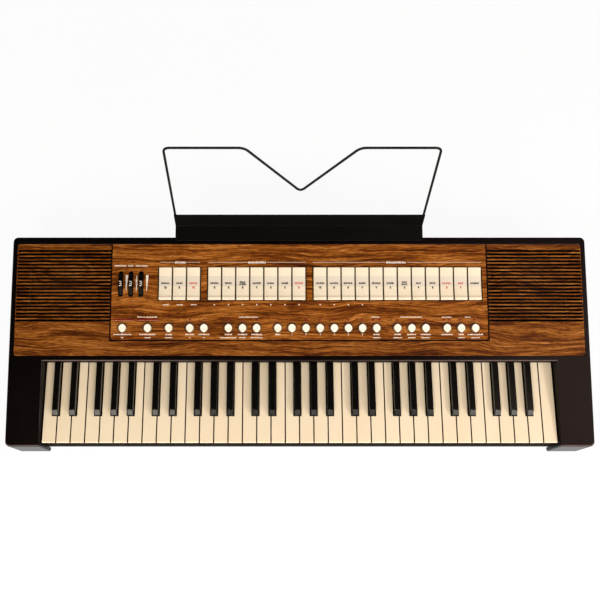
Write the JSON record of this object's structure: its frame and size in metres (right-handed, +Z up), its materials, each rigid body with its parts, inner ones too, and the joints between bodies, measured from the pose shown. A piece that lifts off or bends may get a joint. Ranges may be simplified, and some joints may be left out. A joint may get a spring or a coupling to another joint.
{
  "type": "electronic organ",
  "caption": "Portable organ with a moulded black case, walnut fascia with slotted grilles, rocking stop tabs, push buttons, thumbwheels, a piano keyboard and a lift-off wire music rest.",
  "frame": {"origin": "middle of the whole instrument's footprint, on the surface it stands on", "axes": "+X along the keyboard to the treble end, +Y away from the player, +Z up"},
  "size_m": [0.962, 0.4125, 0.3329],
  "materials": {
    "black_moulding": "satin, fine grain",
    "walnut": "satin walnut with dark figure",
    "cream_moulding": "soft gloss cream",
    "ivory_keys": "polished ivory colour",
    "black_keys": "satin black",
    "painted_steel": "black powder coat",
    "plated_steel": "zinc plated",
    "dark_steel": "lacquered laminations",
    "black_steel": "satin black enamel",
    "black_wheel": "gloss black",
    "speaker_black": "matt black cone and basket",
    "green_board": "green solder resist"
  },
  "bodies": {
    "root": {"top_case": "black_moulding", "base_pan": "painted_steel", "fascia_panel": "walnut", "control_panel": "walnut", "key_frame": "plated_steel", "speaker_left": "speaker_black", "speaker_right": "speaker_black", "control_board": "green_board", "main_board": "green_board", "power_supply": "dark_steel", "jack_plate": "painted_steel"},
    "naturals_ceg_octave_1": {"naturals_ceg_octave_1": "ivory_keys"},
    "naturals_dfa_octave_1": {"naturals_dfa_octave_1": "ivory_keys"},
    "sharps_octave_1": {"sharps_octave_1": "black_keys"},
    "naturals_ceg_octave_2": {"naturals_ceg_octave_2": "ivory_keys"},
    "naturals_dfa_octave_2": {"naturals_dfa_octave_2": "ivory_keys"},
    "sharps_octave_2": {"sharps_octave_2": "black_keys"},
    "naturals_ceg_octave_3": {"naturals_ceg_octave_3": "ivory_keys"},
    "naturals_dfa_octave_3": {"naturals_dfa_octave_3": "ivory_keys"},
    "sharps_octave_3": {"sharps_octave_3": "black_keys"},
    "naturals_ceg_octave_4": {"naturals_ceg_octave_4": "ivory_keys"},
    "naturals_dfa_octave_4": {"naturals_dfa_octave_4": "ivory_keys"},
    "sharps_octave_4": {"sharps_octave_4": "black_keys"},
    "naturals_ceg_octave_5": {"naturals_ceg_octave_5": "ivory_keys"},
    "naturals_dfa_octave_5": {"naturals_dfa_octave_5": "ivory_keys"},
    "sharps_octave_5": {"sharps_octave_5": "black_keys"},
    "natural_top_c": {"natural_top_c": "ivory_keys"},
    "stop_tab_01": {"stop_tab_01": "cream_moulding"},
    "stop_tab_02": {"stop_tab_02": "cream_moulding"},
    "stop_tab_03": {"stop_tab_03": "cream_moulding"},
    "stop_tab_04": {"stop_tab_04": "cream_moulding"},
    "stop_tab_05": {"stop_tab_05": "cream_moulding"},
    "stop_tab_06": {"stop_tab_06": "cream_moulding"},
    "stop_tab_07": {"stop_tab_07": "cream_moulding"},
    "stop_tab_08": {"stop_tab_08": "cream_moulding"},
    "stop_tab_09": {"stop_tab_09": "cream_moulding"},
    "stop_tab_10": {"stop_tab_10": "cream_moulding"},
    "stop_tab_11": {"stop_tab_11": "cream_moulding"},
    "stop_tab_12": {"stop_tab_12": "cream_moulding"},
    "stop_tab_13": {"stop_tab_13": "cream_moulding"},
    "stop_tab_14": {"stop_tab_14": "cream_moulding"},
    "stop_tab_15": {"stop_tab_15": "cream_moulding"},
    "stop_tab_16": {"stop_tab_16": "cream_moulding"},
    "stop_tab_17": {"stop_tab_17": "cream_moulding"},
    "stop_tab_18": {"stop_tab_18": "cream_moulding"},
    "stop_tab_19": {"stop_tab_19": "cream_moulding"},
    "stop_tab_20": {"stop_tab_20": "cream_moulding"},
    "stop_tab_21": {"stop_tab_21": "cream_moulding"},
    "stop_tab_22": {"stop_tab_22": "cream_moulding"},
    "buttons_left": {"buttons_left": "cream_moulding"},
    "buttons_rhythm": {"buttons_rhythm": "cream_moulding"},
    "buttons_memory": {"buttons_memory": "cream_moulding"},
    "buttons_voice": {"buttons_voice": "cream_moulding"},
    "buttons_right": {"buttons_right": "cream_moulding"},
    "thumbwheel_1": {"thumbwheel_1": "black_wheel"},
    "thumbwheel_2": {"thumbwheel_2": "black_wheel"},
    "thumbwheel_3": {"thumbwheel_3": "black_wheel"},
    "power_switch": {"power_switch": "black_wheel"},
    "music_rest": {"rest_bracket": "black_steel", "rest_wire": "black_steel"}
  },
  "joints": [
    {"name": "naturals_ceg_octave_1_press", "type": "hinge", "parent": "root", "child": "naturals_ceg_octave_1", "pos_m": [0, -0.00627, 0.062], "axis": [1, 0, 0], "range_deg": [0, 3], "stiffness_Nm_per_rad": 1.6, "springref_deg": -11.46},
    {"name": "naturals_dfa_octave_1_press", "type": "hinge", "parent": "root", "child": "naturals_dfa_octave_1", "pos_m": [0, 0.00273, 0.062], "axis": [1, 0, 0], "range_deg": [0, 3], "stiffness_Nm_per_rad": 1.2, "springref_deg": -11.46},
    {"name": "sharps_octave_1_press", "type": "hinge", "parent": "root", "child": "sharps_octave_1", "pos_m": [0, 0.01173, 0.062], "axis": [1, 0, 0], "range_deg": [0, 3], "stiffness_Nm_per_rad": 2, "springref_deg": -11.46},
    {"name": "naturals_ceg_octave_2_press", "type": "hinge", "parent": "root", "child": "naturals_ceg_octave_2", "pos_m": [0, -0.00627, 0.062], "axis": [1, 0, 0], "range_deg": [0, 3], "stiffness_Nm_per_rad": 1.6, "springref_deg": -11.46},
    {"name": "naturals_dfa_octave_2_press", "type": "hinge", "parent": "root", "child": "naturals_dfa_octave_2", "pos_m": [0, 0.00273, 0.062], "axis": [1, 0, 0], "range_deg": [0, 3], "stiffness_Nm_per_rad": 1.2, "springref_deg": -11.46},
    {"name": "sharps_octave_2_press", "type": "hinge", "parent": "root", "child": "sharps_octave_2", "pos_m": [0, 0.01173, 0.062], "axis": [1, 0, 0], "range_deg": [0, 3], "stiffness_Nm_per_rad": 2, "springref_deg": -11.46},
    {"name": "naturals_ceg_octave_3_press", "type": "hinge", "parent": "root", "child": "naturals_ceg_octave_3", "pos_m": [0, -0.00627, 0.062], "axis": [1, 0, 0], "range_deg": [0, 3], "stiffness_Nm_per_rad": 1.6, "springref_deg": -11.46},
    {"name": "naturals_dfa_octave_3_press", "type": "hinge", "parent": "root", "child": "naturals_dfa_octave_3", "pos_m": [0, 0.00273, 0.062], "axis": [1, 0, 0], "range_deg": [0, 3], "stiffness_Nm_per_rad": 1.2, "springref_deg": -11.46},
    {"name": "sharps_octave_3_press", "type": "hinge", "parent": "root", "child": "sharps_octave_3", "pos_m": [0, 0.01173, 0.062], "axis": [1, 0, 0], "range_deg": [0, 3], "stiffness_Nm_per_rad": 2, "springref_deg": -11.46},
    {"name": "naturals_ceg_octave_4_press", "type": "hinge", "parent": "root", "child": "naturals_ceg_octave_4", "pos_m": [0, -0.00627, 0.062], "axis": [1, 0, 0], "range_deg": [0, 3], "stiffness_Nm_per_rad": 1.6, "springref_deg": -11.46},
    {"name": "naturals_dfa_octave_4_press", "type": "hinge", "parent": "root", "child": "naturals_dfa_octave_4", "pos_m": [0, 0.00273, 0.062], "axis": [1, 0, 0], "range_deg": [0, 3], "stiffness_Nm_per_rad": 1.2, "springref_deg": -11.46},
    {"name": "sharps_octave_4_press", "type": "hinge", "parent": "root", "child": "sharps_octave_4", "pos_m": [0, 0.01173, 0.062], "axis": [1, 0, 0], "range_deg": [0, 3], "stiffness_Nm_per_rad": 2, "springref_deg": -11.46},
    {"name": "naturals_ceg_octave_5_press", "type": "hinge", "parent": "root", "child": "naturals_ceg_octave_5", "pos_m": [0, -0.00627, 0.062], "axis": [1, 0, 0], "range_deg": [0, 3], "stiffness_Nm_per_rad": 1.6, "springref_deg": -11.46},
    {"name": "naturals_dfa_octave_5_press", "type": "hinge", "parent": "root", "child": "naturals_dfa_octave_5", "pos_m": [0, 0.00273, 0.062], "axis": [1, 0, 0], "range_deg": [0, 3], "stiffness_Nm_per_rad": 1.2, "springref_deg": -11.46},
    {"name": "sharps_octave_5_press", "type": "hinge", "parent": "root", "child": "sharps_octave_5", "pos_m": [0, 0.01173, 0.062], "axis": [1, 0, 0], "range_deg": [0, 3], "stiffness_Nm_per_rad": 2, "springref_deg": -11.46},
    {"name": "natural_top_c_press", "type": "hinge", "parent": "root", "child": "natural_top_c", "pos_m": [0, -0.00627, 0.062], "axis": [1, 0, 0], "range_deg": [0, 3], "stiffness_Nm_per_rad": 0.4, "springref_deg": -11.46},
    {"name": "stop_tab_01_rock", "type": "hinge", "parent": "root", "child": "stop_tab_01", "pos_m": [-0.22355, 0.06087, 0.10651], "axis": [1, 0, 0], "range_deg": [0, 5]},
    {"name": "stop_tab_02_rock", "type": "hinge", "parent": "root", "child": "stop_tab_02", "pos_m": [-0.20005, 0.06087, 0.10651], "axis": [1, 0, 0], "range_deg": [0, 5]},
    {"name": "stop_tab_03_rock", "type": "hinge", "parent": "root", "child": "stop_tab_03", "pos_m": [-0.17655, 0.06087, 0.10651], "axis": [1, 0, 0], "range_deg": [0, 5]},
    {"name": "stop_tab_04_rock", "type": "hinge", "parent": "root", "child": "stop_tab_04", "pos_m": [-0.14135, 0.06087, 0.10651], "axis": [1, 0, 0], "range_deg": [0, 5]},
    {"name": "stop_tab_05_rock", "type": "hinge", "parent": "root", "child": "stop_tab_05", "pos_m": [-0.11785, 0.06087, 0.10651], "axis": [1, 0, 0], "range_deg": [0, 5]},
    {"name": "stop_tab_06_rock", "type": "hinge", "parent": "root", "child": "stop_tab_06", "pos_m": [-0.09435, 0.06087, 0.10651], "axis": [1, 0, 0], "range_deg": [0, 5]},
    {"name": "stop_tab_07_rock", "type": "hinge", "parent": "root", "child": "stop_tab_07", "pos_m": [-0.07085, 0.06087, 0.10651], "axis": [1, 0, 0], "range_deg": [0, 5]},
    {"name": "stop_tab_08_rock", "type": "hinge", "parent": "root", "child": "stop_tab_08", "pos_m": [-0.04735, 0.06087, 0.10651], "axis": [1, 0, 0], "range_deg": [0, 5]},
    {"name": "stop_tab_09_rock", "type": "hinge", "parent": "root", "child": "stop_tab_09", "pos_m": [-0.02385, 0.06087, 0.10651], "axis": [1, 0, 0], "range_deg": [0, 5]},
    {"name": "stop_tab_10_rock", "type": "hinge", "parent": "root", "child": "stop_tab_10", "pos_m": [-0.00035, 0.06087, 0.10651], "axis": [1, 0, 0], "range_deg": [0, 5]},
    {"name": "stop_tab_11_rock", "type": "hinge", "parent": "root", "child": "stop_tab_11", "pos_m": [0.03475, 0.06087, 0.10651], "axis": [1, 0, 0], "range_deg": [0, 5]},
    {"name": "stop_tab_12_rock", "type": "hinge", "parent": "root", "child": "stop_tab_12", "pos_m": [0.05825, 0.06087, 0.10651], "axis": [1, 0, 0], "range_deg": [0, 5]},
    {"name": "stop_tab_13_rock", "type": "hinge", "parent": "root", "child": "stop_tab_13", "pos_m": [0.08175, 0.06087, 0.10651], "axis": [1, 0, 0], "range_deg": [0, 5]},
    {"name": "stop_tab_14_rock", "type": "hinge", "parent": "root", "child": "stop_tab_14", "pos_m": [0.10525, 0.06087, 0.10651], "axis": [1, 0, 0], "range_deg": [0, 5]},
    {"name": "stop_tab_15_rock", "type": "hinge", "parent": "root", "child": "stop_tab_15", "pos_m": [0.12875, 0.06087, 0.10651], "axis": [1, 0, 0], "range_deg": [0, 5]},
    {"name": "stop_tab_16_rock", "type": "hinge", "parent": "root", "child": "stop_tab_16", "pos_m": [0.15225, 0.06087, 0.10651], "axis": [1, 0, 0], "range_deg": [0, 5]},
    {"name": "stop_tab_17_rock", "type": "hinge", "parent": "root", "child": "stop_tab_17", "pos_m": [0.17575, 0.06087, 0.10651], "axis": [1, 0, 0], "range_deg": [0, 5]},
    {"name": "stop_tab_18_rock", "type": "hinge", "parent": "root", "child": "stop_tab_18", "pos_m": [0.19925, 0.06087, 0.10651], "axis": [1, 0, 0], "range_deg": [0, 5]},
    {"name": "stop_tab_19_rock", "type": "hinge", "parent": "root", "child": "stop_tab_19", "pos_m": [0.22275, 0.06087, 0.10651], "axis": [1, 0, 0], "range_deg": [0, 5]},
    {"name": "stop_tab_20_rock", "type": "hinge", "parent": "root", "child": "stop_tab_20", "pos_m": [0.24625, 0.06087, 0.10651], "axis": [1, 0, 0], "range_deg": [0, 5]},
    {"name": "stop_tab_21_rock", "type": "hinge", "parent": "root", "child": "stop_tab_21", "pos_m": [0.26975, 0.06087, 0.10651], "axis": [1, 0, 0], "range_deg": [0, 5]},
    {"name": "stop_tab_22_rock", "type": "hinge", "parent": "root", "child": "stop_tab_22", "pos_m": [0.29325, 0.06087, 0.10651], "axis": [1, 0, 0], "range_deg": [0, 5]},
    {"name": "buttons_left_press", "type": "slide", "parent": "root", "child": "buttons_left", "axis": [0, 0.1305, -0.9914], "range_m": [0, 0.002], "stiffness_N_per_m": 500, "springref_m": -0.003},
    {"name": "buttons_rhythm_press", "type": "slide", "parent": "root", "child": "buttons_rhythm", "axis": [0, 0.1305, -0.9914], "range_m": [0, 0.002], "stiffness_N_per_m": 300, "springref_m": -0.003},
    {"name": "buttons_memory_press", "type": "slide", "parent": "root", "child": "buttons_memory", "axis": [0, 0.1305, -0.9914], "range_m": [0, 0.002], "stiffness_N_per_m": 800, "springref_m": -0.003},
    {"name": "buttons_voice_press", "type": "slide", "parent": "root", "child": "buttons_voice", "axis": [0, 0.1305, -0.9914], "range_m": [0, 0.002], "stiffness_N_per_m": 300, "springref_m": -0.003},
    {"name": "buttons_right_press", "type": "slide", "parent": "root", "child": "buttons_right", "axis": [0, 0.1305, -0.9914], "range_m": [0, 0.002], "stiffness_N_per_m": 300, "springref_m": -0.003},
    {"name": "thumbwheel_1_turn", "type": "hinge", "parent": "root", "child": "thumbwheel_1", "pos_m": [-0.2982, 0.06133, 0.09809], "axis": [1, 0, 0], "range_deg": [-135, 135]},
    {"name": "thumbwheel_2_turn", "type": "hinge", "parent": "root", "child": "thumbwheel_2", "pos_m": [-0.2812, 0.06133, 0.09809], "axis": [1, 0, 0], "range_deg": [-135, 135]},
    {"name": "thumbwheel_3_turn", "type": "hinge", "parent": "root", "child": "thumbwheel_3", "pos_m": [-0.2642, 0.06133, 0.09809], "axis": [1, 0, 0], "range_deg": [-135, 135]},
    {"name": "power_switch_rock", "type": "hinge", "parent": "root", "child": "power_switch", "pos_m": [0.306, 0.13443, 0.055], "axis": [1, 0, 0], "range_deg": [0, 12]},
    {"name": "music_rest_lift", "type": "slide", "parent": "root", "child": "music_rest", "axis": [0, -0.1305, 0.9914], "range_m": [0, 0.03]}
  ]
}
